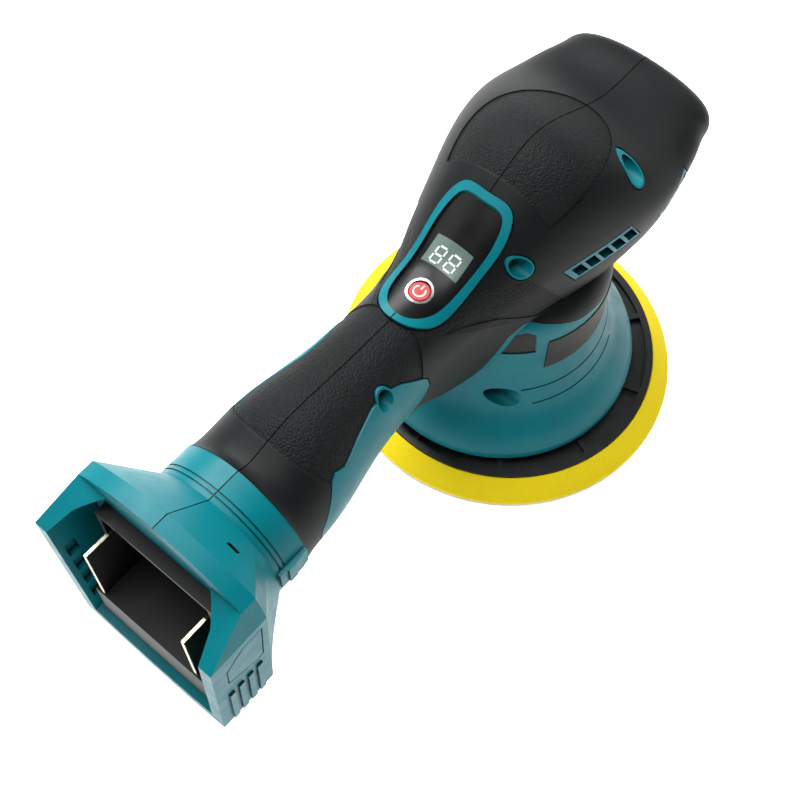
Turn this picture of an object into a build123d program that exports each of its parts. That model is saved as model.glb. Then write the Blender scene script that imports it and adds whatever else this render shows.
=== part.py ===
from build123d import *
import math
import os

# Cordless dual action polisher, millimetres.
# X runs along the handle towards the nose, Y to the left, Z up.
# The origin lies on the motor axis, in the plane of the pad's working face.

# ---- pad stack ----
pad_radius = 75.0
pad_bevel = 8.5                 # how far the foam draws in from its edge to its top
hook_thickness = 2.0
foam_edge_height = 2.6          # upright edge of the foam above the hook layer
foam_thickness = 10.4
plate_thickness = 4.2
plate_recess = 3.2              # how deep the backing plate sits in the foam
plate_rim_width = 3.2
plate_rib_width = 2.4
plate_pocket_depth = 2.2
plate_rib_count = 10
hub_radius = 24.0
hub_height = 7.0
orbit_radius = 4.0              # offset of the pad axis from the motor axis
rest_angle = -58.0              # direction of that offset at rest, degrees from +X

# ---- motor and drive ----
motor_radius = 33.5
can_wall = 1.8
stator_length = 40.0
winding_height = 5.0
winding_gap = 0.6
rotor_gap = 0.5
rotor_radius = 18.0
shaft_radius = 5.0
shaft_clearance = 0.05
bearing_width = 8.0
bearing_wall = 8.0              # from bore to outer ring
race_wall = 2.2
ball_count = 9
end_cap_floor = 2.0
bracket_floor = 1.0
fan_radius = 28.0
fan_gap = 3.2
fan_height = 7.0
fan_blade_count = 14
fan_wall = 1.6
carrier_radius = 27.0
carrier_plate_height = 13.0
carrier_height = 18.0
seal_height = 1.2
carrier_gap = 2.0               # carrier above the spindle flange
carrier_neck_radius = 10.0
weight_width = 9.0
weight_sweep = 150.0            # degrees
spindle_radius = 6.0
spindle_flange_radius = 14.0
spindle_flange_height = 3.5
pad_stud_radius = 4.0
pad_stud_flange_radius = 12.0
pad_stud_flange_height = 2.4

# ---- shroud and neck round the motor ----
shroud_radius = 60.0
shroud_lip = 3.5                # upright band at the shroud's rim
shroud_gap = 3.6                # rim above the backing plate
neck_gap = 4.5                  # neck cavity outside the motor
shell_wall = 2.6                # hard shell
grip_skin = 1.4                 # soft skin over the shell
flare_top = 54.0                # where the neck starts to open into the shroud
neck_top = 96.0
neck_shoulder = 9.0             # how far the neck draws in under the head

# ---- handle and head ----
grip_length = 154.0             # motor axis to the collar
collar_radius = 29.5
collar_height = 97.5            # axis of the collar above the pad face
waist_half_width = 20.5
grip_top = 128.0
head_top = 155.5
head_side_room = 10.2           # from the motor can to the head's widest line
head_level = 118.5              # height of the head's widest line
nose_reach = 86.0
nose_round = 11.0
nose_top = 133.0
outline_points = 20             # points in each closed cross outline
roundness = 2.1                 # 2 is an ellipse, more is squarer
seam_gap = 0.4                  # parting line between the soft skins
seam_depth = 0.6
skin_gap = 0.5                  # groove between the soft skin and what shows through it

# ---- collar and battery foot ----
collar_length = 14.0
collar_bore = 26.0
ring_width = 0.7
foot_flare_length = 16.0        # from the collar to the foot's front face
foot_depth = 26.0
foot_half_width = 40.6
foot_vertex_height = 121.0      # the widest line of the foot
foot_corner_half_width = 37.0
foot_corner_height = 132.5
foot_crown_height = 144.0
foot_bottom_half_width = 36.0
foot_bottom_height = 46.5
foot_bottom_sag = 4.0
band_setback = 19.5             # top band ahead of the side rims
foot_rim = 5.5
foot_pocket_depth = 20.0
block_half_width = 27.0
block_wall = 2.2
block_bottom = 62.0
block_top = 124.0
block_depth = 12.0
block_proud = 5.0
guide_inset = 4.5               # rails inside the socket's side
guide_thickness = 0.9
guide_top = 112.0
guide_bottom = 76.0              # the rails stand on the socket's ledge
guide_reach = 16.0              # rearward past the foot's floor
ledge_reach = 17.0              # the socket's lower ledge, rearward past the floor
ledge_bottom = 54.0
terminal_thickness = 0.8
terminal_spacing = 9.0

# ---- control panel ----
panel_rear = 75.0
panel_front = 21.0
panel_half_width = 14.6
bezel_width = 2.8
bezel_proud = 0.9
panel_recess = 0.4
panel_thickness = 1.6
window_length = 10.0
window_half_width = 8.2
window_centre = -43.5
button_centre = -59.0
button_radius = 4.4
button_ring_width = 0.9
button_gap = 0.15
button_travel = 0.6
button_height = 3.2

# ---- screws and vents ----
screw_radius = 1.5
screw_head_radius = 3.1
screw_head_height = 2.4
screw_hole_radius = 3.6
neck_hole_radius = 4.8          # the wider hole low on the neck
screw_boss_wall = 0.7
screw_seat = 11.0               # head seats this far right of the parting plane
screw_reach = 10.0
fit_gap = 0.3                   # clear space between things that do not touch
small_step = 0.4                # sunk texture fields and ring grooves
vent_frame = 1.4                # bars and frame of the vents
side_vent_count = 5
front_vent_count = 3

# ---- heights that follow from the stack ----
head_half_width = motor_radius + head_side_room
guide_half_gap = block_half_width - guide_inset
foam_top = hook_thickness + foam_thickness
plate_bottom = foam_top - plate_recess
plate_top = plate_bottom + plate_thickness
plate_radius = pad_radius - pad_bevel
hub_top = plate_bottom + hub_height
shroud_bottom = plate_top + shroud_gap
carrier_bottom = hub_top + spindle_flange_height + carrier_gap
carrier_top = carrier_bottom + carrier_height
fan_bottom = carrier_top + fan_gap
bracket_bottom = fan_bottom + fan_height + fan_gap
bracket_top = bracket_bottom + bearing_width + bracket_floor
can_top = bracket_top + stator_length + 2 * winding_height + 6 * winding_gap
shaft_top = can_top + bearing_width - fit_gap
neck_radius = motor_radius + neck_gap + shell_wall + grip_skin
full_wall = shell_wall + grip_skin
pad_x = orbit_radius * math.cos(math.radians(rest_angle))
pad_y = orbit_radius * math.sin(math.radians(rest_angle))
collar_rear = -(grip_length + collar_length)
foot_front = collar_rear - foot_flare_length
foot_rear = foot_front - foot_depth
band_rear = foot_rear + band_setback
floor_x = foot_rear + foot_pocket_depth
far = 400.0

os.makedirs("parts", exist_ok=True)


def write(name, shape):
    """One STEP file for one named piece."""
    solids = shape.solids()
    whole = solids[0] if len(solids) == 1 else Compound(children=list(solids))
    whole.label = name
    export_step(whole, "parts/" + name + ".step")


def disc(radius, low, high, x=0.0, y=0.0):
    """Upright cylinder from one height to another."""
    return Pos(x, y, (low + high) / 2) * Cylinder(radius, high - low)


def tube(outer, inner, low, high, x=0.0, y=0.0):
    """Upright ring."""
    return disc(outer, low, high, x, y) - disc(inner, low - 1, high + 1, x, y)


def block(x_range, y_range, z_range):
    """Box between two corners."""
    size = [high - low for low, high in (x_range, y_range, z_range)]
    middle = [(high + low) / 2 for low, high in (x_range, y_range, z_range)]
    return Pos(*middle) * Box(*size)


def cross_rod(x, z, radius, y_low, y_high):
    """Cylinder that lies across the handle, along Y."""
    return Pos(x, (y_low + y_high) / 2, z) * Rot(90, 0, 0) * Cylinder(radius, y_high - y_low)


def side_prism(points, y_low, y_high, growth=0.0):
    """Side-view outline (x, z), grown by a margin, carried across from y_low to y_high."""
    face = make_face(Plane.XZ * Polyline(*points, close=True))
    if growth:
        face = offset(face, amount=growth)
    return Pos(0, y_low, 0) * extrude(face, amount=y_high - y_low, dir=(0, 1, 0))


def top_prism(face, low, high):
    """Plan outline carried upwards."""
    return Pos(0, 0, low) * extrude(face, amount=high - low, dir=(0, 0, 1))


# ---- the outer form ----
def cross_outline(x, top, bottom, half_width, level, inset):
    """Closed outline across the body: two half ovals that meet at the widest level."""
    points = []
    for step in range(outline_points):
        angle = 2 * math.pi * step / outline_points
        across, up = math.cos(angle), math.sin(angle)
        reach = (top - level if up > 0 else level - bottom) - inset
        y = (half_width - inset) * math.copysign(abs(across) ** (2 / roundness), across)
        z = level + reach * math.copysign(abs(up) ** (2 / roundness), up)
        points.append((x, y, z))
    shares = [step / outline_points for step in range(outline_points + 1)]
    return Wire([Edge.make_spline(points, periodic=True, parameters=shares)])


def along_grip(share):
    """X between the control panel's rear end, 0, and the collar, 1."""
    return -panel_rear - share * (grip_length - panel_rear)


def along_nose(share):
    """X between the motor axis, 0, and the start of the nose's rounding, 1."""
    return share * (nose_reach - nose_round)


def body_stations():
    """Cross outlines of handle and head: x, top, bottom, half width, widest level."""
    waist = waist_half_width
    wide = head_half_width
    level = head_level
    collar = collar_radius
    rear_bottom = collar_height - collar
    return [
        (along_grip(1.00), collar_height + collar, rear_bottom, collar - 0.5, collar_height),
        (along_grip(0.76), grip_top + 0.5, rear_bottom + 4, collar - 2.2, collar_height + 2),
        (along_grip(0.51), grip_top + 1.0, rear_bottom + 9, waist + 3.7, level - 16.5),
        (along_grip(0.25), grip_top - 0.5, rear_bottom + 11, waist + 0.8, level - 15.5),
        (along_grip(0.04), grip_top - 1.0, rear_bottom + 2, waist - 0.2, level - 15.5),
        (-62.0, grip_top - 1.5, shroud_bottom + 36, waist, level - 14.5),
        (-48.0, grip_top + 1.0, shroud_bottom + 27, waist + 2.0, level - 12.5),
        (-34.0, head_top - 18.5, shroud_bottom + 27, wide - 16.5, level - 9.5),
        (-18.0, head_top - 8.0, shroud_bottom + 30, wide - 11.7, level - 5.5),
        (0.0, head_top, neck_top - 38, wide - 6.2, level - 1.5),
        (along_nose(0.26), head_top - 4.5, neck_top - 28, wide - 1.4, level + 0.5),
        (along_nose(0.50), head_top - 14.5, neck_top - 19, wide, level + 0.5),
        (along_nose(0.72), nose_top + 1.0, neck_top - 9, wide - 2.6, level),
        (along_nose(0.88), nose_top, neck_top - 1, wide - 5.5, level - 0.5),
    ]


def handle_and_head(inset):
    """The long body, drawn in all over by the inset; its nose is rounded by a formula."""
    outlines = [cross_outline(*station, inset) for station in body_stations()]
    radius = nose_round - inset
    for degrees in (0, 25, 45, 62, 76):
        lean = math.radians(degrees)
        x = nose_reach - inset - radius * (1 - math.sin(lean))
        drawn_in = inset + radius * (1 - math.cos(lean))
        half_width = head_half_width - 8.2
        outlines.append(cross_outline(x, nose_top, neck_top + 9, half_width, head_level - 1, drawn_in))
    return Solid.make_loft(outlines)


def neck_and_shroud(inset):
    """Neck round the motor, opening into the bell over the pad."""
    neck = neck_radius - inset
    rim = shroud_radius - inset
    low = shroud_bottom if inset == 0 else shroud_bottom - 1
    lip_top = shroud_bottom + shroud_lip
    top = neck_top - inset
    shoulder = neck - neck_shoulder
    profile = Line((0, top), (shoulder, top))
    profile += Spline((shoulder, top), (neck - 2.4, top - 4.0), (neck, top - 13.0), tangents=[(1, -0.1), (0, -1)])
    profile += Line((neck, top - 13.0), (neck, flare_top + 10))
    middle = (neck + 0.42 * (rim - neck), (flare_top + lip_top) / 2)
    points = [(neck, flare_top + 10), (neck + 2.0, flare_top - 2), middle, (rim, lip_top)]
    profile += Spline(*points, tangents=[(0, -1), (0.3, -1)])
    profile += Line((rim, lip_top), (rim, low))
    profile += Line((rim, low), (0, low))
    profile += Line((0, low), (0, top))
    return revolve(make_face(Plane.XZ * profile), axis=Axis.Z)


def outer_form(inset):
    """Everything ahead of the collar, drawn in by the inset."""
    return handle_and_head(inset) + neck_and_shroud(inset)


def foot_outline(inset):
    """Rear-view outline of the foot; local x is Y and local y is -Z."""
    half = foot_half_width - inset
    corner = foot_corner_half_width - inset
    low_half = foot_bottom_half_width - inset
    shoulder = -(foot_corner_height - inset)
    crown = -(foot_crown_height - inset)
    low = -(foot_bottom_height + inset)
    sag = -(foot_bottom_height - foot_bottom_sag + inset)
    widest = -foot_vertex_height
    outline = ThreePointArc((-corner, shoulder), (0, crown), (corner, shoulder))
    outline += Polyline((corner, shoulder), (half, widest), (low_half, low))
    outline += ThreePointArc((low_half, low), (0, sag), (-low_half, low))
    outline += Polyline((-low_half, low), (-half, widest), (-corner, shoulder))
    return make_face(outline)


def foot_plane(x):
    """Plane across the foot that looks to the rear."""
    return Plane(origin=(x, 0, 0), x_dir=(0, 1, 0), z_dir=(-1, 0, 0))


def foot_bar(x, length, inset):
    """The foot's section carried to the rear from an x position."""
    return extrude(foot_plane(x) * foot_outline(inset), amount=length, dir=(-1, 0, 0))


def tail_form(inset):
    """Collar, flare and battery foot, still solid, drawn in by the inset."""
    collar_face = Plane(origin=(-grip_length, 0, collar_height), z_dir=(-1, 0, 0))
    radius = collar_radius - inset
    collar = extrude(collar_face * Circle(radius), amount=collar_length)
    body = foot_bar(foot_front, foot_depth, inset)
    rear_ring = Plane(origin=(collar_rear, 0, collar_height), x_dir=(0, 1, 0), z_dir=(-1, 0, 0)) * Circle(radius)
    flare = loft([rear_ring.face(), (foot_plane(foot_front) * foot_outline(inset)).face()])
    return collar + flare + body


def ring_groove(x):
    """Shallow groove round the collar."""
    face = Plane(origin=(x, 0, collar_height), z_dir=(1, 0, 0))
    ring = Circle(collar_radius + 1) - Circle(collar_radius - small_step)
    return extrude(face * ring, amount=ring_width)


# ---- side-view fields of the shell ----
def soft_outline():
    """Where the soft skin lies, seen from the side: above and behind the neck's trim line."""
    neck = neck_radius
    return [
        (-grip_length, shroud_bottom + 13), (-panel_rear, shroud_bottom + 13),
        (-neck - 22, shroud_bottom + 22), (-neck - 7, shroud_bottom + 22),
        (-neck - 1, shroud_bottom + 44), (-neck + 4, neck_top - 14),
        (-neck + 7, neck_top - 5), (-neck + 13, neck_top - 1), (-neck + 20, neck_top - 4),
        (-neck + 33, neck_top - 9), (-neck + 50, neck_top - 12), (-neck + 66, neck_top - 18),
        (neck + 4, neck_top - 25), (far, neck_top - 25), (far, far), (-grip_length, far),
    ]


def strip_outline():
    """Hard strip left bare along each flank of the handle."""
    axis = collar_height
    upper = [(0.03, 11), (0.06, 13.5), (0.17, 19.5), (0.24, 21.5), (0.37, 22.5), (0.52, 20.5)]
    upper += [(0.64, 18), (0.70, 19.5), (0.74, 17.5), (0.87, 1.5)]
    lower = [(0.88, -4), (0.67, -5.5), (0.42, -7), (0.19, -5), (0.06, 0), (0.02, 6)]
    return [(along_grip(share), axis + rise) for share, rise in upper + lower]


def vent_outline(x, z, length, rise, height, lean):
    """Leaning frame of a row of vents: lower rear corner, length, rise, height and lean."""
    return [
        (x, z), (x + length, z + rise),
        (x + length - lean, z + rise + height), (x - lean, z + height),
    ]


def vent_slots(x, z, length, rise, height, lean, count):
    """Slots inside a vent frame, parted by narrow bars."""
    slots = []
    pitch = (length - vent_frame) / count
    for index in range(count):
        start = x + vent_frame + index * pitch
        base = z + vent_frame + rise * (start - x) / length
        width = pitch - vent_frame
        slots.append(vent_outline(start, base, width, rise * width / length, height - 2 * vent_frame, lean * 0.7))
    return slots


def panel_outline(inset):
    """Plan of the control panel's bezel, drawn in by the inset: round behind, squarer in front."""
    rear = -panel_rear + inset
    front = -panel_front - inset
    wide = panel_half_width - inset
    half = [(rear + 2.5, wide * 0.52), (rear + 9, wide * 0.84), (rear + 20, wide * 0.95)]
    half += [(front - 19, wide), (front - 6.5, wide), (front - 0.8, wide * 0.8)]
    points = [(rear, 0)] + half + [(front, 0)] + [(x, -y) for x, y in reversed(half)]
    return make_face(Wire([Edge.make_spline([(x, y, 0) for x, y in points], periodic=True)]))


def palm_field():
    """Plan of the textured field on top of the head."""
    oval = Pos(2, 0, 0) * Ellipse(head_half_width - 6.0, head_half_width - 17.0)
    return oval & Pos(head_half_width - 15.5, 0, 0) * Rectangle(2 * head_half_width, far)


def handle_field_outline():
    """Side view of the textured field on the handle, from its front edge to the double groove."""
    front = [(0.06, 13), (0.03, 19), (-0.02, 26), (-0.04, 40)]
    rear = [(0.83, 40), (0.80, 26), (0.74, 17.5), (0.70, 19.5), (0.64, 18), (0.52, 20.5), (0.37, 22.5)]
    rear += [(0.24, 21.5), (0.17, 19.5)]
    return [(along_grip(share), collar_height + rise) for share, rise in front + rear]


def flank_field_outline():
    """Side view of the textured field on the head's rear flank."""
    return [(-63, 118), (-42, 111), (-33, 104), (-23, 96), (-10, 96), (-28, 124), (-46, 124)]


# ---- assemble the shell ----
outer = outer_form(0.0)
core = outer_form(grip_skin)
cavity = outer_form(full_wall)
side_vent = (-8.0, head_level - 9.5, 30.0, 5.0, 10.5, 6.5)
front_vent = (38.0, head_level - 12.0, 19.0, 7.0, 9.5, 5.0)
right_side = block((-far, far), (-far, 0), (-far, far))

screws = [(along_grip(0.29), collar_height + 20.5, screw_hole_radius), (-29.0, head_level + 10.5, screw_hole_radius)]
screws += [(26.0, head_level + 20.5, screw_hole_radius), (-neck_radius + 6.5, shroud_bottom + 29.0, neck_hole_radius)]


def shown_through(growth):
    """Zones where the hard shell shows through the soft skin, grown by a margin."""
    zones = top_prism(panel_outline(-growth), collar_height, far / 2)
    for low, high in ((-far / 4, -waist_half_width / 3), (waist_half_width / 3, far / 4)):
        zones += side_prism(strip_outline(), low, high, growth)
    for low, high in ((-far / 4, -waist_half_width), (waist_half_width, far / 4)):
        zones += side_prism(vent_outline(*side_vent), low, high, growth)
        zones += side_prism(vent_outline(*front_vent), low, high, growth)
    for x, z, hole_radius in screws:
        zones += cross_rod(x, z, hole_radius + screw_boss_wall + growth, -far / 4, 0)
    return zones


bare = shown_through(0.0)
covered = (outer & side_prism(soft_outline(), -far / 4, far / 4)) - core - bare
motor_room = disc(motor_radius + fit_gap, bracket_top, can_top + 3.0 + fit_gap)
hard = outer - covered - cavity - motor_room

# ---- sunk fields and grooves of the soft skin ----
sunk = handle_and_head(small_step)
fields = top_prism(palm_field(), head_level, far / 2)
fields += side_prism(handle_field_outline(), -far / 4, far / 4)
fields += side_prism(flank_field_outline(), -far / 4, -waist_half_width / 2)
fields += side_prism(flank_field_outline(), waist_half_width / 2, far / 4)
soft = covered - (fields - sunk) - shown_through(skin_gap) - motor_room

# ---- battery foot ----
pocket = foot_bar(floor_x, foot_pocket_depth + 1, foot_rim)
slant = [(foot_rear - 1, foot_vertex_height - 0.6), (band_rear, foot_corner_height)]
slant += [(band_rear, far / 2), (foot_rear - 1, far / 2)]
block_x = (floor_x - block_proud, floor_x + block_depth)
block_y = (-block_half_width, block_half_width)
block_z = (block_bottom, block_top)
bore = Pos((block_x[1] - grip_length) / 2 + 1, 0, collar_height) * Rot(0, 90, 0)
bore *= Cylinder(collar_bore, -grip_length - block_x[1] + 2)
latch = foot_bar(foot_front - 2, foot_front - band_rear - 4, 2.5)
latch &= block((-far, 0), (-block_half_width + 8, block_half_width - 8), (foot_vertex_height, far))


def foot_wall(z, inset):
    """Half width of the foot's side at a height, drawn in by the inset."""
    share = (z - foot_bottom_height) / (foot_vertex_height - foot_bottom_height)
    return foot_bottom_half_width + share * (foot_half_width - foot_bottom_half_width) - inset


rib_zone = []
for index in range(4):
    x = foot_rear + 5.0 + index * 4.6
    for side in (-1, 1):
        y_range = sorted((side * (foot_wall(foot_bottom_height, 2.0)), side * far / 4))
        rib_zone.append(block((x, x + 2.6), y_range, (foot_bottom_height + 2, foot_vertex_height - 40)))
ribs = foot_bar(foot_front, foot_depth, -0.9) & Compound(children=rib_zone)
tail = tail_form(0.0) + ribs - pocket - side_prism(slant, -far / 4, far / 4) - latch - bore
tail -= block((block_x[0], block_x[1] + 1), block_y, block_z)
for index in range(4):
    z = foot_bottom_height + 14.0 + index * 12.0
    for side in (-1, 1):
        inner = foot_wall(z, foot_rim)
        y_range = sorted((side * (inner - 3), side * (inner + 2)))
        tail -= block((foot_rear + 2.5, foot_rear + 7.5), y_range, (z, z + 8.5))

# shallow shield outline on each side of the foot, a slit in the flare, and rings on the collar
top, base = foot_vertex_height - 5, foot_vertex_height - 35
shield = [(foot_front - 2.5, top), (foot_front - 3, base + 1.5), (foot_front - 5, base)]
shield += [(foot_rear + 6, base + 8), (foot_rear + 6, base + 22), (foot_rear + 14, top)]
line = [(x + (0.6 if x < foot_front - 8 else -0.6), z + (0.6 if z < top - 15 else -0.6)) for x, z in shield]
marks = side_prism(shield, -far / 4, far / 4) - side_prism(line, -far / 4, far / 4)
marks -= foot_bar(foot_front + 1, foot_depth + 2, small_step)
tail -= marks
tail -= block((foot_front + 7.5, foot_front + 8.7), (-21.5, -17.0), (foot_vertex_height, far / 2))
for x in (collar_rear + 2.0, collar_rear + 4.0):
    tail -= ring_groove(x)
tabs = [(0.5, 0.5), (4.1, 1.3), (7.7, 0.9), (11.3, 0.4)]
for start, height in tabs:
    x = collar_rear + start
    y_range = (-collar_radius - height, -collar_radius + 2.5)
    tail += block((x, min(x + 3.6, -grip_length)), y_range, (collar_height - 2, collar_height + 8))

# ---- screw bosses, vents and the control panel's opening ----
for x, z, hole_radius in screws:
    hard += cross_rod(x, z, hole_radius + screw_boss_wall, -far / 4, 0) & outer
    hard += cross_rod(x, z, screw_radius + screw_boss_wall, -1, far / 4) & core
proud_ring = top_prism(panel_outline(0.0) - panel_outline(bezel_width), collar_height, far / 2)
hard += (handle_and_head(-bezel_proud) & proud_ring) - sunk
under_panel = handle_and_head(panel_recess + panel_thickness)
opening = top_prism(panel_outline(bezel_width), collar_height + 4, far / 2)
hard -= opening - under_panel
hard -= top_prism(panel_outline(bezel_width + 2.2), collar_height + 4, far / 2)
holes = []
for x, z, hole_radius in screws:
    holes.append(cross_rod(x, z, hole_radius, -far / 4, -screw_seat))
    holes.append(cross_rod(x, z, screw_radius, -screw_seat - 1, screw_reach))
for vent, count in ((side_vent, side_vent_count), (front_vent, front_vent_count)):
    for slot in vent_slots(*vent, count):
        holes.append(side_prism(slot, -far / 4, -waist_half_width - 4))
        holes.append(side_prism(slot, waist_half_width + 4, far / 4))
for hole in holes:
    hard -= hole

# ---- grooves on the bell and the sunk inlay on the neck ----
bell = neck_and_shroud(0.0)
thin_bell = neck_and_shroud(small_step)
lines = block((-neck_radius + 12, neck_radius - 14), (-far / 4, 0), (flare_top - 5.0, flare_top - 4.2))
lines += block((-neck_radius + 14, neck_radius - 22), (-far / 4, 0), (flare_top - 13.0, flare_top - 12.2))
lines += mirror(lines, about=Plane.XZ)
hard -= lines - thin_bell
inlay_outline = [(-neck_radius + 2, neck_top - 21), (-neck_radius + 7, neck_top - 8)]
inlay_outline += [(-neck_radius + 14, neck_top - 6.5), (-neck_radius + 16.5, neck_top - 8.5)]
inlay_outline += [(-neck_radius + 17, neck_top - 21)]
inlay_zone = side_prism(inlay_outline, -far / 4, -2) + side_prism(inlay_outline, 2, far / 4)
inlays = (neck_and_shroud(0.5) & inlay_zone) - neck_and_shroud(1.6)
hard -= inlay_zone & (bell - neck_and_shroud(1.6))

# ---- halves ----
seam = block((-far, far), (-seam_gap / 2, seam_gap / 2), (-far, far))
seam -= outer_form(seam_depth)
seam -= tail_form(seam_depth)
shell = (hard + tail) - (seam & block((-far, -panel_rear + 10), (-1, 1), (0, far)))
for side, low, high in (("left", 0, far), ("right", -far, 0)):
    write("housing_" + side, shell & block((-far, far), (low, high), (-far, far)))
    soft_range = (low + seam_gap / 2, high) if side == "left" else (low, high - seam_gap / 2)
    write("grip_cover_" + side, soft & block((-far, far), soft_range, (-far, far)))
    write("neck_inlay_" + side, inlays & block((-far, far), (low, high), (-far, far)))

# ---- control panel ----
panel_layer = handle_and_head(panel_recess) & opening
window_x = (window_centre - window_length / 2, window_centre + window_length / 2)
window_zone = block(window_x, (-window_half_width, window_half_width), (collar_height, far / 2))
button_zone = disc(button_radius + button_ring_width, collar_height, far / 2, button_centre)
panel_layer -= under_panel
write("control_panel", panel_layer - window_zone - button_zone)
write("display_window", panel_layer & window_zone)
ring_zone = button_zone - disc(button_radius, collar_height, far / 2, button_centre)
write("button_ring", panel_layer & ring_zone)
button_top = grip_top - 1.5 - panel_recess - 0.1
cap = disc(button_radius - button_gap, button_top - button_height, button_top, button_centre)
cap = chamfer(cap.edges().group_by(Axis.Z)[-1], 0.4)
stem_low = button_top - button_height - 3.0
stem = disc(1.2, stem_low, button_top - button_height, button_centre)
write("start_button", cap + stem)

# ---- electronics ----
switch_top = stem_low - button_travel - 0.1
board_top = switch_top - 3.4
board_x = (-panel_rear + 4, -motor_radius - 2.5)
board = block(board_x, (-9.5, 9.5), (board_top - 1.6, board_top))
write("control_board", board)
write("button_switch", block((button_centre - 3, button_centre + 3), (-3, 3), (board_top, switch_top)))
window_low = window_centre - window_length / 2
display = block((window_low + 0.5, window_low + window_length), (-7.5, 7.5), (board_top, board_top + 10.0))
write("display_module", display & handle_and_head(panel_recess + panel_thickness + 0.3))
lead_z = board_top - 9.0
lead_radius = 1.3


def lead(points, radii):
    """Insulated wire bent round arcs."""
    path = FilletPolyline(*points, radius=radii)
    start = Plane(origin=path @ 0, z_dir=path % 0)
    return sweep(start * Circle(lead_radius), path=path)


power = []
for y in (-4.0, 4.0):
    end = (board_x[0] + 10, y, board_top - 1.6)
    power.append(lead([(block_x[1], y, lead_z), (end[0], y, lead_z), end], 4.0))
write("power_leads", Compound(children=[item.solid() for item in power]))

# ---- motor leads ----
plug = block((-motor_radius - 4.0, -motor_radius + 4.0), (-8, 8), (board_top - 22, board_top - 15))
write("motor_plug", plug - disc(motor_radius, 0, far))
phases = []
for y in (-5.0, 0.0, 5.0):
    start = (board_x[1] - 5.5, y, board_top - 1.6)
    corner = (board_x[1] - 5.5, y, board_top - 18.5)
    phases.append(lead([start, corner, (-motor_radius - 4.0, y, board_top - 18.5)], 3.0))
write("motor_leads", Compound(children=[item.solid() for item in phases]))

# ---- battery connection ----
tray = block(block_x, block_y, block_z)
hollow_y = (-block_half_width + block_wall, block_half_width - block_wall)
tray -= block((block_x[0] - 1, block_x[1] - block_wall), hollow_y, (guide_bottom, block_top - block_wall))
tray += block((floor_x - ledge_reach, floor_x), block_y, (ledge_bottom, guide_bottom))
for side, name in ((1, "left"), (-1, "right")):
    y_range = sorted((side * guide_half_gap, side * (guide_half_gap + guide_thickness)))
    rail = block((floor_x - guide_reach, block_x[1] - block_wall), y_range, (guide_bottom, guide_top))
    write("guide_rail_" + name, rail)
terminals = []
for index in (-1, 0, 1):
    y = index * terminal_spacing
    y_range = (y - terminal_thickness / 2, y + terminal_thickness / 2)
    blade_x = (floor_x + 5, block_x[1] + 3.0)
    terminals.append(block(blade_x, y_range, (block_bottom + 20, block_bottom + 36)))
for blade in terminals:
    tray -= blade
write("terminal_block", tray)
write("battery_terminals", Compound(children=terminals))

# ---- motor ----
can = tube(motor_radius, motor_radius - can_wall, bracket_top, can_top)
for index in range(8):
    turn = Rot(0, 0, index * 45 + 22.5)
    can -= turn * block((motor_radius - 4, motor_radius + 4), (-4, 4), (can_top - 12, can_top - 4))
write("motor_can", can)
stator_radius = motor_radius - can_wall
stator_low = bracket_top + winding_height + 3 * winding_gap
stator_top = stator_low + stator_length
stator = tube(stator_radius, rotor_radius + rotor_gap, stator_low, stator_top)
slot = block((rotor_radius + rotor_gap - 1, stator_radius - 4), (-1.0, 1.0), (stator_low - 1, stator_top + 1))
for index in range(12):
    stator -= Rot(0, 0, index * 30) * slot
write("motor_stator", stator)
coils = []
for index in range(12):
    for low in (stator_low - winding_height, stator_top):
        coil = block((rotor_radius + 2.5, stator_radius - 1.5), (-3.6, 3.6), (low, low + winding_height))
        coil = fillet(coil.edges().filter_by(Axis.X), 1.8)
        coils.append(Rot(0, 0, index * 30 + 15) * coil)
write("motor_windings", Compound(children=coils))
rotor = tube(rotor_radius, shaft_radius, stator_low, stator_top)
write("motor_rotor", rotor)
shaft_low = carrier_top - 6.0
write("motor_shaft", disc(shaft_radius, shaft_low, shaft_top))


def wedge_of(half_sweep):
    """Upright wedge that opens along +X by this angle to each side."""
    reach = far / 4
    angle = math.radians(half_sweep)
    near, wide = reach * math.cos(angle), reach * math.sin(angle)
    sides = Polyline((0, 0), (near, -wide), (reach * 1.5, -wide), (reach * 1.5, wide), (near, wide), close=True)
    return extrude(make_face(sides), amount=far / 2, dir=(0, 0, 1))


def bearing(bore, low, x=0.0, y=0.0):
    """Deep-groove ball bearing: two rings and the balls between them."""
    outside = bore + bearing_wall
    middle = (bore + outside) / 2
    ball = (bearing_wall - 2 * race_wall) / 2 + 0.6
    height = low + bearing_width / 2
    groove = Pos(x, y, height) * Torus(middle, ball + 0.05)
    inner = tube(bore + race_wall, bore, low, low + bearing_width, x, y) - groove
    outer_ring = tube(outside, outside - race_wall, low, low + bearing_width, x, y) - groove
    pieces = [inner.solid(), outer_ring.solid()]
    for index in range(ball_count):
        angle = 2 * math.pi * index / ball_count
        place = Pos(x + middle * math.cos(angle), y + middle * math.sin(angle), height)
        pieces.append(place * Sphere(ball))
    return Compound(children=pieces)


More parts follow.
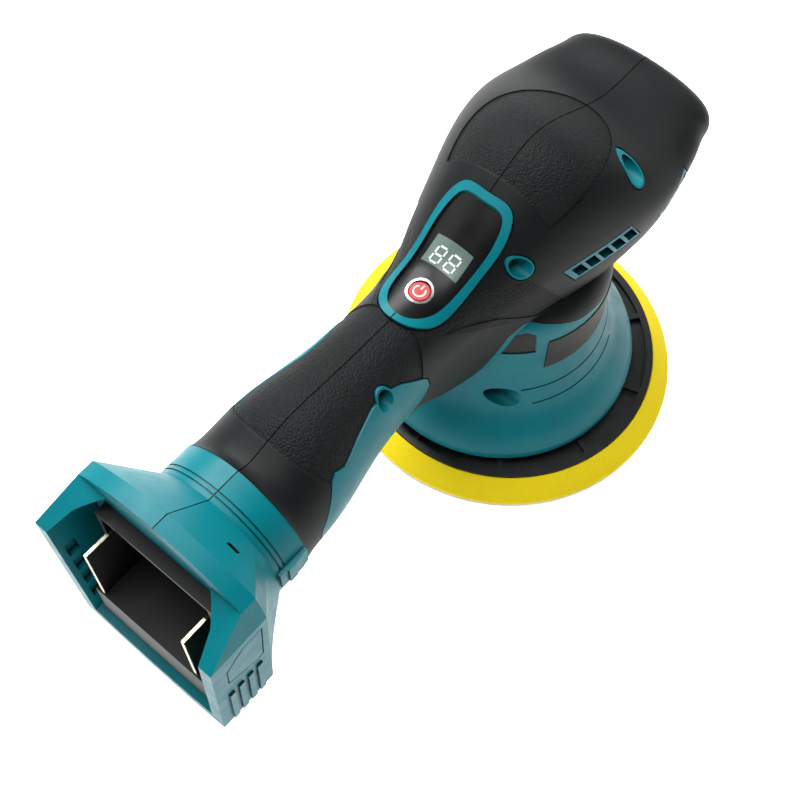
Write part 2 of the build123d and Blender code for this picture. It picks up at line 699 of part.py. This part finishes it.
bearing_radius = shaft_radius + shaft_clearance + bearing_wall
bracket = neck_and_shroud(full_wall) & disc(neck_radius, bracket_bottom, bracket_top)
bracket -= disc(bearing_radius, bracket_bottom + bracket_floor, bracket_top + 1)
bracket -= disc(shaft_radius + 2, bracket_bottom - 1, bracket_top)
for index in range(6):
    window = tube(neck_radius - full_wall - 5, bearing_radius + 4, bracket_bottom - 1, bracket_top + 1)
    sector = Rot(0, 0, index * 60) * block((0, far / 4), (-6.5, 6.5), (bracket_bottom - 2, bracket_top + 2))
    bracket -= window & sector
write("motor_bracket", bracket)
write("lower_bearing", bearing(shaft_radius + shaft_clearance, bracket_bottom + bracket_floor))
cap_top = can_top + bearing_width + end_cap_floor
end_cap = disc(motor_radius, can_top, can_top + 3.0) + disc(bearing_radius + 3, can_top, cap_top)
end_cap -= disc(bearing_radius, can_top - 1, can_top + bearing_width)
write("motor_end_cap", end_cap)
write("upper_bearing", bearing(shaft_radius + shaft_clearance, can_top))
sensor_low = stator_top + winding_height + fit_gap
write("sensor_board", tube(stator_radius, rotor_radius - 4, sensor_low, sensor_low + 1.0))

# ---- fan, eccentric and spindle ----
fan = tube(shaft_radius + 4, shaft_radius, fan_bottom, fan_bottom + fan_height)
fan += tube(fan_radius, shaft_radius, fan_bottom, fan_bottom + fan_wall)
for index in range(fan_blade_count):
    blade = block((shaft_radius + 3, fan_radius), (-0.7, 0.7), (fan_bottom, fan_bottom + fan_height))
    fan += Rot(0, 0, index * 360 / fan_blade_count) * blade
write("cooling_fan", fan)
plate_high = carrier_bottom + carrier_plate_height
spindle_bearing_radius = spindle_radius + shaft_clearance + bearing_wall
carrier = disc(carrier_radius, carrier_bottom, plate_high) + disc(carrier_neck_radius, carrier_bottom, carrier_top)
seat_low = carrier_bottom + 2.0
carrier -= disc(spindle_bearing_radius, carrier_bottom - 1, seat_low + bearing_width, pad_x, pad_y)
carrier -= disc(shaft_radius, shaft_low, carrier_top + 1)
write("eccentric_carrier", carrier)
weight = tube(carrier_radius + weight_width, carrier_radius, seat_low, plate_high)
weight &= Rot(0, 0, rest_angle + 180) * wedge_of(weight_sweep / 2)
write("counterweight", weight)
write("eccentric_bearing", bearing(spindle_radius + shaft_clearance, seat_low, pad_x, pad_y))
seal_low = carrier_bottom + 0.3
seal = tube(spindle_bearing_radius, spindle_radius + 0.5, seal_low, seal_low + seal_height, pad_x, pad_y)
write("dust_seal", seal)
spindle_top = seat_low + bearing_width - 0.4
spindle = disc(spindle_flange_radius, hub_top, hub_top + spindle_flange_height, pad_x, pad_y)
spindle += disc(spindle_radius, hub_top, spindle_top, pad_x, pad_y)
stud_top = hub_top + 7.0
spindle -= disc(pad_stud_radius, hub_top - 1, stud_top, pad_x, pad_y)
write("pad_spindle", spindle)

# ---- pad stack ----
stud_flange_top = plate_bottom + 1.0 + pad_stud_flange_height
stud = disc(pad_stud_flange_radius, plate_bottom + 1.0, stud_flange_top, pad_x, pad_y)
stud += disc(pad_stud_radius, plate_bottom + 1.0, stud_top, pad_x, pad_y)
write("pad_stud", stud)
plate = disc(plate_radius, plate_bottom, plate_top, pad_x, pad_y)
plate += disc(hub_radius, plate_bottom, hub_top, pad_x, pad_y)
floor = plate_top - plate_pocket_depth
pockets = tube(plate_radius - plate_rim_width, hub_radius + 4.0, floor, plate_top + 1, pad_x, pad_y)
for index in range(plate_rib_count):
    rib = block((0, far / 2), (-plate_rib_width / 2, plate_rib_width / 2), (floor - 1, plate_top + 2))
    pockets -= Pos(pad_x, pad_y, 0) * Rot(0, 0, index * 360 / plate_rib_count) * rib
plate -= pockets
plate -= stud
write("backing_plate", plate)
edge_top = hook_thickness + foam_edge_height
section = Polyline((0, hook_thickness), (pad_radius - 0.6, hook_thickness), (pad_radius, hook_thickness + 0.6),
                   (pad_radius, edge_top), (plate_radius + 0.5, foam_top), (plate_radius, foam_top),
                   (plate_radius, plate_bottom), (0, plate_bottom), close=True)
foam = Pos(pad_x, pad_y, 0) * revolve(make_face(Plane.XZ * section), axis=Axis.Z)
write("foam_pad", foam)
write("hook_layer", disc(pad_radius - 0.6, 0, hook_thickness, pad_x, pad_y))

# ---- fasteners and plate ----
shell_screws = []
for x, z, _ in screws:
    head = cross_rod(x, z, screw_head_radius, -screw_seat - screw_head_height, -screw_seat)
    shank = cross_rod(x, z, screw_radius, -screw_seat, screw_reach)
    socket = cross_rod(x, z, 1.3, -screw_seat - screw_head_height - 1, -screw_seat - 1.0)
    shell_screws.append((head + shank - socket).solid())
write("shell_screws", Compound(children=shell_screws))
plate_zone = block((-far, far), (-far, 0), (flare_top + 7, neck_top - 15)) & (Rot(0, 0, -90) * wedge_of(30))
write("rating_plate", (neck_and_shroud(-0.4) - bell) & plate_zone)
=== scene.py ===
import bpy
import bmesh
import math
from mathutils import Matrix, Vector
from mathutils.bvhtree import BVHTree


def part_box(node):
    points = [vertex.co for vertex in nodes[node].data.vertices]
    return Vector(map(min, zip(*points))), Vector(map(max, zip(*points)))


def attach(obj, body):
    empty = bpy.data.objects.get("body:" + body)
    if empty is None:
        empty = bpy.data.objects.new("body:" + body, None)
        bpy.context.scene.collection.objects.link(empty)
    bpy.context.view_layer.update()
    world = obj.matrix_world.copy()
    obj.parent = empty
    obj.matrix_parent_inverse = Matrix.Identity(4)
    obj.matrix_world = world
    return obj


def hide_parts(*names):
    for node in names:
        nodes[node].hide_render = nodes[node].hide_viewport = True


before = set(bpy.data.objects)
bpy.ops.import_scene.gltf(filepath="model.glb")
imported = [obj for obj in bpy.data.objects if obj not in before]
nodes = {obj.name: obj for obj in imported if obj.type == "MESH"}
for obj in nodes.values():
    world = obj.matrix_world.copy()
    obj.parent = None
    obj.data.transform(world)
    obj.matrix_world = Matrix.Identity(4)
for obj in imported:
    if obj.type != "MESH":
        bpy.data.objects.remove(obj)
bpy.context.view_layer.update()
MM = 0.001

# ---- camera, light and floor ----
sight = Vector((0.36301, 0.29438, -0.88406)).normalized()
level = sight.cross(Vector((0, 0, 1))).normalized()
tilt = Matrix.Rotation(math.radians(-1.42), 3, sight)
across = tilt @ level
upward = across.cross(sight)
camera = bpy.data.objects.new("camera", bpy.data.cameras.new("camera"))
aim = Matrix((across, upward, -sight)).transposed().to_4x4()
camera.matrix_world = Matrix.Translation((-0.26475, -0.15905, 0.53304)) @ aim
camera.data.lens = 59.85
camera.data.sensor_width = 36.0
bpy.context.scene.collection.objects.link(camera)
bpy.context.scene.camera = camera
bpy.context.scene.view_settings.view_transform = "Standard"


def lamp(name, place, target, size, power):
    """Soft rectangular studio light that looks at a target."""
    data = bpy.data.lights.new(name, "AREA")
    data.size = size
    data.energy = power
    lit = bpy.data.objects.new(name, data)
    lit.location = place
    lit.rotation_euler = (Vector(target) - Vector(place)).to_track_quat("-Z", "Y").to_euler()
    bpy.context.scene.collection.objects.link(lit)


middle = (-0.05, 0.0, 0.08)
lamp("side", (-0.75, 1.05, 1.0), middle, 0.8, 4.0)
lamp("key", (0.35, 0.95, 1.3), middle, 0.9, 37.0)
lamp("over", (-0.3, 0.1, 1.6), middle, 0.8, 16.5)
lamp("nose", (1.2, -0.1, 0.9), middle, 0.8, 4.5)


# ---- material tools ----
def linear(code):
    """Linear colour from an sRGB hex code."""
    values = [int(code[i:i + 2], 16) / 255 for i in (1, 3, 5)]
    return tuple(v / 12.92 if v <= 0.04045 else ((v + 0.055) / 1.055) ** 2.4 for v in values) + (1.0,)


def add(tree, kind, links=None, **settings):
    """One node with its settings and its inputs, which are sockets or constants."""
    node = tree.nodes.new(kind)
    for name, value in settings.items():
        setattr(node, name, value)
    for name, value in (links or {}).items():
        if isinstance(value, bpy.types.NodeSocket):
            tree.links.new(value, node.inputs[name])
        else:
            node.inputs[name].default_value = value
    return node


# the studio's far wall: pale near the horizon, dim overhead
world = bpy.data.worlds.new("studio")
world.use_nodes = True
sky = world.node_tree
toward = add(sky, "ShaderNodeTexCoord").outputs["Generated"]
height = add(sky, "ShaderNodeSeparateXYZ", {"Vector": toward}).outputs["Z"]
glow = add(sky, "ShaderNodeMapRange", {"Value": height, "From Min": 0.0, "From Max": 0.16,
                                       "To Min": 0.68, "To Max": 0.1})
sky.nodes["Background"].inputs["Color"].default_value = (1, 1, 1, 1)
sky.links.new(glow.outputs["Result"], sky.nodes["Background"].inputs["Strength"])
bpy.context.scene.world = world


def start(name, color, roughness, **sockets):
    """New material: its tree, its shader and the object coordinates."""
    material = bpy.data.materials.new(name)
    material.use_nodes = True
    tree = material.node_tree
    shader = tree.nodes["Principled BSDF"]
    shader.inputs["Base Color"].default_value = linear(color)
    shader.inputs["Roughness"].default_value = roughness
    for socket, value in sockets.items():
        shader.inputs[socket.replace("_", " ")].default_value = value
    return material, tree, shader, add(tree, "ShaderNodeTexCoord").outputs["Object"]


def mottle(tree, shader, place, dark, light, size):
    """Soft colour variation between two colours over patches of a size in millimetres."""
    patches = add(tree, "ShaderNodeTexNoise", {"Vector": place, "Scale": 1 / (size * MM), "Detail": 3.0})
    mix = add(tree, "ShaderNodeMix", {"Factor": patches.outputs["Fac"]}, data_type="RGBA")
    mix.inputs[6].default_value = linear(dark)
    mix.inputs[7].default_value = linear(light)
    tree.links.new(mix.outputs[2], shader.inputs["Base Color"])
    return mix.outputs[2]


def painted_crevice_shade(tree, shader, colour, dark, reach):
    """Painted shade: darkens the base colour towards a dark colour in gaps narrower than a reach in
    millimetres, where shade falls.
    """
    sky = add(tree, "ShaderNodeAmbientOcclusion", {"Distance": reach * MM}, samples=6)
    shade_share = add(tree, "ShaderNodeMapRange", {"Value": sky.outputs["AO"], "From Min": 0.45, "From Max": 0.9})
    mix = add(tree, "ShaderNodeMix", {"Factor": shade_share.outputs["Result"]}, data_type="RGBA")
    mix.inputs[6].default_value = linear(dark)
    tree.links.new(colour, mix.inputs[7])
    tree.links.new(mix.outputs[2], shader.inputs["Base Color"])


def gloss(tree, shader, place, low, high, size):
    """Roughness that wanders between two values over patches of a size in millimetres."""
    patches = add(tree, "ShaderNodeTexNoise", {"Vector": place, "Scale": 1 / (size * MM), "Detail": 2.0})
    spread = add(tree, "ShaderNodeMapRange", {"Value": patches.outputs["Fac"], "From Min": 0.3,
                                              "From Max": 0.7, "To Min": low, "To Max": high})
    tree.links.new(spread.outputs["Result"], shader.inputs["Roughness"])


def relief(tree, shader, height, depth, before=None):
    """Bump of a depth in millimetres from a height that runs from 0 to 1."""
    links = {"Height": height, "Distance": depth * MM, "Strength": 1.0}
    if before:
        links["Normal"] = before
    bump = add(tree, "ShaderNodeBump", links)
    tree.links.new(bump.outputs["Normal"], shader.inputs["Normal"])
    return bump.outputs["Normal"]


def grain(tree, shader, place, size, depth, before=None):
    """Fine noise relief: grain size and depth in millimetres."""
    noise = add(tree, "ShaderNodeTexNoise", {"Vector": place, "Scale": 1 / (size * MM), "Detail": 2.0})
    return relief(tree, shader, noise.outputs["Fac"], depth, before)


def beyond(tree, place, normal, offset, soft=0.6):
    """1 where the point lies past a plane, 0 before it; millimetres."""
    dot = add(tree, "ShaderNodeVectorMath", {0: place, 1: normal}, operation="DOT_PRODUCT")
    step = add(tree, "ShaderNodeMapRange", {"Value": dot.outputs["Value"],
                                            "From Min": (offset - soft / 2) * MM,
                                            "From Max": (offset + soft / 2) * MM})
    return step.outputs["Result"]


def both(tree, *values):
    """Product of several masks."""
    product = values[0]
    for value in values[1:]:
        product = add(tree, "ShaderNodeMath", {0: product, 1: value}, operation="MULTIPLY").outputs[0]
    return product


def either(tree, *values):
    """The largest of several masks."""
    largest = values[0]
    for value in values[1:]:
        largest = add(tree, "ShaderNodeMath", {0: largest, 1: value}, operation="MAXIMUM").outputs[0]
    return largest


# ---- materials of the outside ----
# Injection-moulded glass-filled nylon in teal: spark-eroded grain gives a broken, satin highlight.
shell_nylon, tree, shader, place = start("moulded_nylon_teal", "#006A73", 0.4, IOR=1.45,
                                         Specular_IOR_Level=0.2)
colour = mottle(tree, shader, place, "#00646E", "#00757F", 22.0)
# painted shade: the teal turns near-black in narrow gaps, seams and slots
painted_crevice_shade(tree, shader, colour, "#001012", 1.6)
gloss(tree, shader, place, 0.32, 0.44, 6.0)
grain(tree, shader, place, 0.9, 0.06)

# Overmoulded thermoplastic rubber: dull black skin, pebbled in three fields and fine-grained elsewhere.
grip_rubber, tree, shader, place = start("overmoulded_rubber_black", "#101314", 0.6, IOR=1.42,
                                         Specular_IOR_Level=0.22)
colour = mottle(tree, shader, place, "#0C0F10", "#121617", 14.0)
# painted shade: the rubber turns near-black in narrow gaps and seams
painted_crevice_shade(tree, shader, colour, "#010101", 1.2)
oval = add(tree, "ShaderNodeMapping", {"Vector": place, "Location": (-0.053, 0.0, 0.0),
                                       "Scale": (26.5, 37.5, 0.0)})
reach = add(tree, "ShaderNodeVectorMath", {0: oval.outputs["Vector"]}, operation="LENGTH").outputs["Value"]
oval_edge = add(tree, "ShaderNodeMapRange", {"Value": reach, "From Min": 1.01, "From Max": 0.99})
in_oval = oval_edge.outputs["Result"]
palm = both(tree, in_oval, beyond(tree, place, (0, 0, 1), 118.5), beyond(tree, place, (1, 0, 0), -15.0))
handle = both(tree, beyond(tree, place, (0, 0, 1), 108.0), beyond(tree, place, (-1, 0, 0.57), 143.8),
              beyond(tree, place, (1, 0, 0.35), -95.5))
flank = both(tree, beyond(tree, place, (0.55, 0, 1), 83.4), beyond(tree, place, (0, 0, -1), -124.0),
             beyond(tree, place, (-1, 0, -0.643), -51.7), beyond(tree, place, (0, 0, 1), 96.0))
field = either(tree, palm, handle, flank)
pebbles = add(tree, "ShaderNodeTexVoronoi", {"Vector": place, "Scale": 1 / (0.85 * MM), "Randomness": 1.0},
              feature="F1")
pebble_depth = add(tree, "ShaderNodeMath", {0: pebbles.outputs["Distance"], 1: field}, operation="MULTIPLY")
skin = grain(tree, shader, place, 0.7, 0.02)
relief(tree, shader, pebble_depth.outputs[0], -0.32, skin)
dull = add(tree, "ShaderNodeMapRange", {"Value": field, "To Min": 0.52, "To Max": 0.62})
tree.links.new(dull.outputs["Result"], shader.inputs["Roughness"])

# Satin ABS inlay let into the neck.
inlay_abs, tree, shader, place = start("moulded_abs_black", "#101213", 0.45, IOR=1.5,
                                       Specular_IOR_Level=0.2)
mottle(tree, shader, place, "#090A0B", "#0F1112", 9.0)
grain(tree, shader, place, 0.8, 0.02)

# Back-printed acrylic: black with a soft gloss and faint handling smears.
panel_acrylic, tree, shader, place = start("acrylic_gloss_black", "#0A0B0C", 0.3, IOR=1.45,
                                           Specular_IOR_Level=0.25)
gloss(tree, shader, place, 0.26, 0.36, 12.0)
mottle(tree, shader, place, "#08090A", "#0D0E0F", 15.0)

# Smoked acrylic window over an unlit display: pale grey-green.
window_acrylic, tree, shader, place = start("acrylic_display_window", "#51645E", 0.26, IOR=1.45,
                                            Specular_IOR_Level=0.4)
mottle(tree, shader, place, "#4A5C57", "#63746D", 8.0)
gloss(tree, shader, place, 0.2, 0.3, 5.0)

# Electroplated chrome on plastic.
chrome, tree, shader, place = start("plated_chrome", "#8F9295", 0.3, Metallic=1.0)
gloss(tree, shader, place, 0.25, 0.36, 2.0)

# Injection-moulded red ABS push button; its slight translucency at the edge is not drawn.
button_abs, tree, shader, place = start("moulded_abs_red", "#A81412", 0.34, IOR=1.5, Specular_IOR_Level=0.4)
mottle(tree, shader, place, "#98100F", "#B81C18", 3.0)
grain(tree, shader, place, 0.5, 0.01)

# White screen-printing ink: chalky and a little uneven.
print_ink, tree, shader, place = start("screen_print_white", "#C9D1CE", 0.5, IOR=1.5)
mottle(tree, shader, place, "#BAC3C0", "#DDE3E0", 1.5)

# Blank black polyester film with a fine matt grain.
plate_film, tree, shader, place = start("polyester_film_black", "#0A0B0C", 0.42, IOR=1.5,
                                        Specular_IOR_Level=0.25)
mottle(tree, shader, place, "#08090A", "#0D0E0F", 7.0)
grain(tree, shader, place, 0.4, 0.008)

# Socket nylon: the same plastic as the black nylon, painted deeper black as shade and made duller, since
# little light reaches the socket.
shaded_socket_nylon, tree, shader, place = start("moulded_nylon_socket_black_painted_shade", "#08090A", 0.5, IOR=1.45,
                                          Specular_IOR_Level=0.25)
mottle(tree, shader, place, "#060708", "#0B0C0D", 8.0)
grain(tree, shader, place, 0.8, 0.03)

# Moulded glass-filled nylon in black for the backing plate, fan and small housings.
black_nylon, tree, shader, place = start("moulded_nylon_black", "#121415", 0.42, IOR=1.5,
                                         Specular_IOR_Level=0.35)
mottle(tree, shader, place, "#0F1112", "#17191A", 10.0)
gloss(tree, shader, place, 0.36, 0.5, 4.0)
grain(tree, shader, place, 0.9, 0.03)

# Open-cell polyurethane foam, bright yellow: small pores in a soft skin, painted a darker yellow inside as
# shade.
foam, tree, shader, place = start("open_cell_foam_yellow", "#F8DE08", 0.85, IOR=1.4, Subsurface_Weight=0.12,
                                  Subsurface_Scale=0.003)
pores = add(tree, "ShaderNodeTexVoronoi", {"Vector": place, "Scale": 1 / (0.6 * MM)}, feature="F1")
holes = add(tree, "ShaderNodeMapRange", {"Value": pores.outputs["Distance"], "From Min": 0.05,
                                         "From Max": 0.4})
pore_shade_tone = add(tree, "ShaderNodeMix", {"Factor": holes.outputs["Result"]}, data_type="RGBA")
# painted shade: darker yellow at the bottom of the pores
pore_shade_tone.inputs[6].default_value = linear("#EFD200")
pore_shade_tone.inputs[7].default_value = linear("#F9DE06")
tree.links.new(pore_shade_tone.outputs[2], shader.inputs["Base Color"])
relief(tree, shader, holes.outputs["Result"], 0.1)

# Napped nylon hook-and-loop sheet: off-white and fuzzy.
hook_nylon, tree, shader, place = start("napped_nylon_white", "#E6E5DE", 0.9, IOR=1.53, Sheen_Weight=0.4)
mottle(tree, shader, place, "#CFCEC6", "#F1F0EA", 1.2)
grain(tree, shader, place, 0.6, 0.3)

# Nickel-plated spring steel sheet, warm where the plating is thin.
plated_sheet, tree, shader, place = start("nickel_plated_steel", "#D8CFB2", 0.24, Metallic=1.0)
mottle(tree, shader, place, "#CFC4A2", "#E2DCC6", 5.0)
gloss(tree, shader, place, 0.18, 0.36, 3.0)

# Black-oxide steel screws.
oxide_steel, tree, shader, place = start("black_oxide_steel", "#3A3B3D", 0.38, Metallic=1.0)
mottle(tree, shader, place, "#2F3032", "#48494B", 1.5)
gloss(tree, shader, place, 0.3, 0.5, 1.0)

# ---- materials of the inside ----
# Turned and ground steel: fine rings from the lathe.
turned_steel, tree, shader, place = start("turned_steel", "#A9ABAD", 0.3, Metallic=1.0)
mottle(tree, shader, place, "#9C9EA0", "#B6B8BA", 4.0)
rings = add(tree, "ShaderNodeTexWave", {"Vector": place, "Scale": 1 / (0.9 * MM) / 6.28, "Distortion": 0.4},
            bands_direction="Z")
relief(tree, shader, rings.outputs["Fac"], 0.01)

# Stacked silicon-steel sheets: edges every half millimetre, drawn at one millimetre so that they show.
lamination, tree, shader, place = start("stacked_silicon_steel", "#5B5C5F", 0.42, Metallic=1.0)
mottle(tree, shader, place, "#505154", "#67686B", 3.0)
sheets = add(tree, "ShaderNodeTexWave", {"Vector": place, "Scale": 1 / (1.0 * MM) / 6.28},
             bands_direction="Z")
relief(tree, shader, sheets.outputs["Fac"], 0.05)

# Lacquered copper wire: close turns about 0.8 mm apart under a glossy varnish.
copper_wire, tree, shader, place = start("enamelled_copper_wire", "#B4602B", 0.26, Metallic=1.0,
                                         Coat_Weight=0.5)
mottle(tree, shader, place, "#9C4F22", "#C87436", 3.0)
turns = add(tree, "ShaderNodeTexWave", {"Vector": place, "Scale": 1 / (0.8 * MM) / 6.28, "Distortion": 1.0},
            bands_direction="Z")
relief(tree, shader, turns.outputs["Fac"], 0.12)

# Die-cast aluminium: pale, slightly pitted skin.
cast_aluminium, tree, shader, place = start("die_cast_aluminium", "#B9BBBD", 0.45, Metallic=1.0)
mottle(tree, shader, place, "#ABADAF", "#C6C8CA", 6.0)
grain(tree, shader, place, 0.8, 0.03)

# Circuit board: green solder resist over copper tracks.
circuit_board, tree, shader, place = start("solder_resist_green", "#11502B", 0.3, IOR=1.5)
tracks = add(tree, "ShaderNodeTexBrick", {"Vector": place, "Scale": 1 / (6.0 * MM),
                                          "Color1": linear("#0E4525"), "Color2": linear("#1A6C3A"),
                                          "Mortar": linear("#0B3A1E"), "Mortar Size": 0.03})
tree.links.new(tracks.outputs["Color"], shader.inputs["Base Color"])
grain(tree, shader, place, 1.0, 0.02)

# Silicone wire insulation and lip seal: black and slightly waxy.
silicone, tree, shader, place = start("silicone_black", "#141516", 0.48, IOR=1.43)
mottle(tree, shader, place, "#101112", "#1A1B1C", 5.0)
grain(tree, shader, place, 0.7, 0.015)

# Stamped brass battery blades.
brass, tree, shader, place = start("stamped_brass", "#C9A95A", 0.28, Metallic=1.0)
mottle(tree, shader, place, "#B8984C", "#D8BC72", 2.0)
gloss(tree, shader, place, 0.22, 0.38, 2.0)

# Studio floor: plain off-white paper.
paper, tree, shader, place = start("backdrop_paper", "#FBFBFB", 0.9, IOR=1.45,
                                   Emission_Color=(1, 1, 1, 1), Emission_Strength=0.55)

dressed = {
    shell_nylon: ("housing_left", "housing_right"),
    grip_rubber: ("grip_cover_left", "grip_cover_right"),
    inlay_abs: ("neck_inlay_left", "neck_inlay_right"),
    panel_acrylic: ("control_panel",),
    window_acrylic: ("display_window",),
    chrome: ("button_ring",),
    button_abs: ("start_button",),
    plate_film: ("rating_plate",),
    shaded_socket_nylon: ("terminal_block", "guide_rail_left", "guide_rail_right"),
    black_nylon: ("backing_plate", "cooling_fan", "button_switch", "display_module", "motor_plug"),
    foam: ("foam_pad",),
    hook_nylon: ("hook_layer",),
    oxide_steel: ("shell_screws",),
    turned_steel: ("motor_can", "motor_shaft", "lower_bearing", "upper_bearing", "counterweight",
                   "eccentric_bearing", "pad_spindle", "pad_stud"),
    lamination: ("motor_stator", "motor_rotor"),
    copper_wire: ("motor_windings",),
    cast_aluminium: ("motor_bracket", "motor_end_cap", "eccentric_carrier"),
    circuit_board: ("control_board", "sensor_board"),
    silicone: ("power_leads", "motor_leads", "dust_seal"),
    brass: ("battery_terminals",),
}
for finish, names in dressed.items():
    for name in names:
        nodes[name].data.materials.clear()
        nodes[name].data.materials.append(finish)


# ---- tools for new pieces ----
def piece(name, mesh, finish, body, smooth=True):
    """Turns a finished bmesh, in metres, into a piece that rides on a body."""
    bmesh.ops.recalc_face_normals(mesh, faces=mesh.faces)
    data = bpy.data.meshes.new(name)
    mesh.to_mesh(data)
    mesh.free()
    data.materials.append(finish)
    for face in data.polygons:
        face.use_smooth = smooth
    made = bpy.data.objects.new(name, data)
    bpy.context.scene.collection.objects.link(made)
    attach(made, body)
    return made


def round_edges(made, width, segments=3, angle=30):
    """Rounds a piece's sharp edges by a width in millimetres."""
    bevel = made.modifiers.new("edges", "BEVEL")
    bevel.width = width * MM
    bevel.segments = segments
    bevel.limit_method = "ANGLE"
    bevel.angle_limit = math.radians(angle)


def turned(profile, centre, steps):
    """Closed profile of (radius, height) in millimetres spun round an upright axis."""
    mesh = bmesh.new()
    ring = [mesh.verts.new((centre[0] + radius * MM, centre[1], height * MM)) for radius, height in profile]
    edges = [mesh.edges.new((ring[i - 1], ring[i])) for i in range(len(ring))]
    bmesh.ops.spin(mesh, geom=ring + edges, cent=(centre[0], centre[1], 0), axis=(0, 0, 1),
                   angle=2 * math.pi, steps=steps, use_merge=True)
    bmesh.ops.remove_doubles(mesh, verts=mesh.verts, dist=1e-6)
    return mesh


def skin_of(*names):
    """Search tree over the surface of CAD nodes, to lay things on it."""
    mesh = bmesh.new()
    for name in names:
        mesh.from_mesh(nodes[name].data)
    tree = BVHTree.FromBMesh(mesh)
    mesh.free()
    return tree


def top_of(surface, x, y, above=0.3):
    """Height of the surface under a point, in metres."""
    hit = surface.ray_cast(Vector((x, y, above)), Vector((0, 0, -1)))
    return hit[0].z if hit[0] else None


# ---- foam pad: its bevelled face and rolled edges ----
low, high = (Vector(corner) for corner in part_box("foam_pad"))
pad_centre = ((low.x + high.x) / 2, (low.y + high.y) / 2)
pad_radius = (high.x - low.x) / 2 / MM
plate_low, plate_high = (Vector(corner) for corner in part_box("backing_plate"))
seat_radius = (plate_high.x - plate_low.x) / 2 / MM
foam_low, foam_high = low.z / MM, high.z / MM
seat_level = plate_low.z / MM - 0.05
bore, edge_round, upright = 1.0, 0.8, 2.6
seat_gap, seat_lip = 0.1, 0.7
profile = [(bore, foam_low), (pad_radius - edge_round, foam_low), (pad_radius, foam_low + edge_round)]
profile += [(pad_radius, foam_low + upright), (seat_radius + seat_lip, foam_high)]
profile += [(seat_radius + seat_gap, foam_high), (seat_radius + seat_gap, seat_level), (bore, seat_level)]
ring = turned(profile, pad_centre, 144)
pad = piece("foam_ring", ring, foam, "pad")
round_edges(pad, 0.7)
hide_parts("foam_pad")

# ---- display digits, laid on the window ----
window = skin_of("display_window")
low, high = (Vector(corner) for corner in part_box("display_window"))
window_middle = (low + high) / 2


def laid(mesh, surface, lift):
    """Lays a flat mesh on a surface, lifted off it by a distance in millimetres."""
    for vert in mesh.verts:
        height = top_of(surface, vert.co.x, vert.co.y)
        vert.co.z = height + lift * MM if height is not None else vert.co.z
    return mesh


# seven-segment figures: three bars across and four upright, slanted a little, two figures side by side
digits = bmesh.new()
half_bar, half_stroke, half_post = 1.45, 0.36, 1.1
bar_rise, post_reach, figure_offset, slant, drop = 2.9, 1.9, 3.2, 0.1, 1.1
bars = [(0, up * bar_rise, half_bar, half_stroke) for up in (-1, 0, 1)]
bars += [(side * post_reach, up * half_bar, half_stroke, half_post) for side in (-1, 1) for up in (-1, 1)]
for offset in (-figure_offset, figure_offset):
    for right, up, half_right, half_up in bars:
        corners = []
        for dr, du in ((-1, -1), (1, -1), (1, 1), (-1, 1)):
            rise = up + du * half_up
            shift = offset + right + dr * half_right + slant * rise
            corners.append(digits.verts.new((window_middle.x + (rise - drop) * MM,
                                             window_middle.y - shift * MM, 0.1)))
        digits.faces.new(corners)
bmesh.ops.subdivide_edges(digits, edges=digits.edges, cuts=2, use_grid_fill=True)
laid(digits, window, 0.12)
piece("display_digits", digits, print_ink, "body", smooth=False)

# ---- power mark on the button ----
low, high = (Vector(corner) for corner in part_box("start_button"))
button = (low + high) / 2
mark = bmesh.new()
steps, gap_end, sweep = 22, 40, 280
ring_inner, ring_outer = 2.0, 2.6
print_level = high.z + 0.00004
for i in range(steps):
    turn = [math.radians(gap_end + sweep * j / steps) for j in (i, i + 1)]
    face = []
    for radius, angle in ((ring_inner, turn[0]), (ring_outer, turn[0]),
                          (ring_outer, turn[1]), (ring_inner, turn[1])):
        x, y = radius * MM * math.cos(angle), radius * MM * math.sin(angle)
        face.append(mark.verts.new((button.x + x, button.y + y, print_level)))
    mark.faces.new(face)
bar = [(0.9, -0.3), (3.0, -0.3), (3.0, 0.3), (0.9, 0.3)]
mark.faces.new([mark.verts.new((button.x + x * MM, button.y + y * MM, print_level)) for x, y in bar])
bmesh.ops.remove_doubles(mark, verts=mark.verts, dist=1e-6)
piece("power_mark", mark, print_ink, "button", smooth=False)

# ---- bent steel liners along the free edges of the battery rails ----
rail_reach = 11.5
for side in ("left", "right"):
    low, high = (Vector(corner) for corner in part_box("guide_rail_" + side))
    socket_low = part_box("terminal_block")[0]
    front_x = socket_low[0] + rail_reach * MM
    liner = bmesh.new()
    thick, proud = 0.3 * MM, 0.5 * MM
    outer = [(front_x, high.z + proud), (low.x - proud, high.z + proud), (low.x - proud, low.z)]
    inner = [(front_x, high.z), (low.x, high.z), (low.x, low.z)]
    loop = [liner.verts.new((x, low.y - thick, z)) for x, z in outer + inner[::-1]]
    face = liner.faces.new(loop)
    swept = bmesh.ops.extrude_face_region(liner, geom=[face])
    moved = [item for item in swept["geom"] if isinstance(item, bmesh.types.BMVert)]
    bmesh.ops.translate(liner, verts=moved, vec=(0, high.y - low.y + 2 * thick, 0))
    strip = piece("rail_liner_" + side, liner, plated_sheet, "body", smooth=False)
    round_edges(strip, 0.2, 2)

# ---- floor ----
floor_reach = 40.0
floor = bmesh.new()
bmesh.ops.create_grid(floor, x_segments=1, y_segments=1, size=floor_reach)
data = bpy.data.meshes.new("floor")
floor.to_mesh(data)
floor.free()
data.materials.append(paper)
ground = bpy.data.objects.new("floor", data)
bpy.context.scene.collection.objects.link(ground)
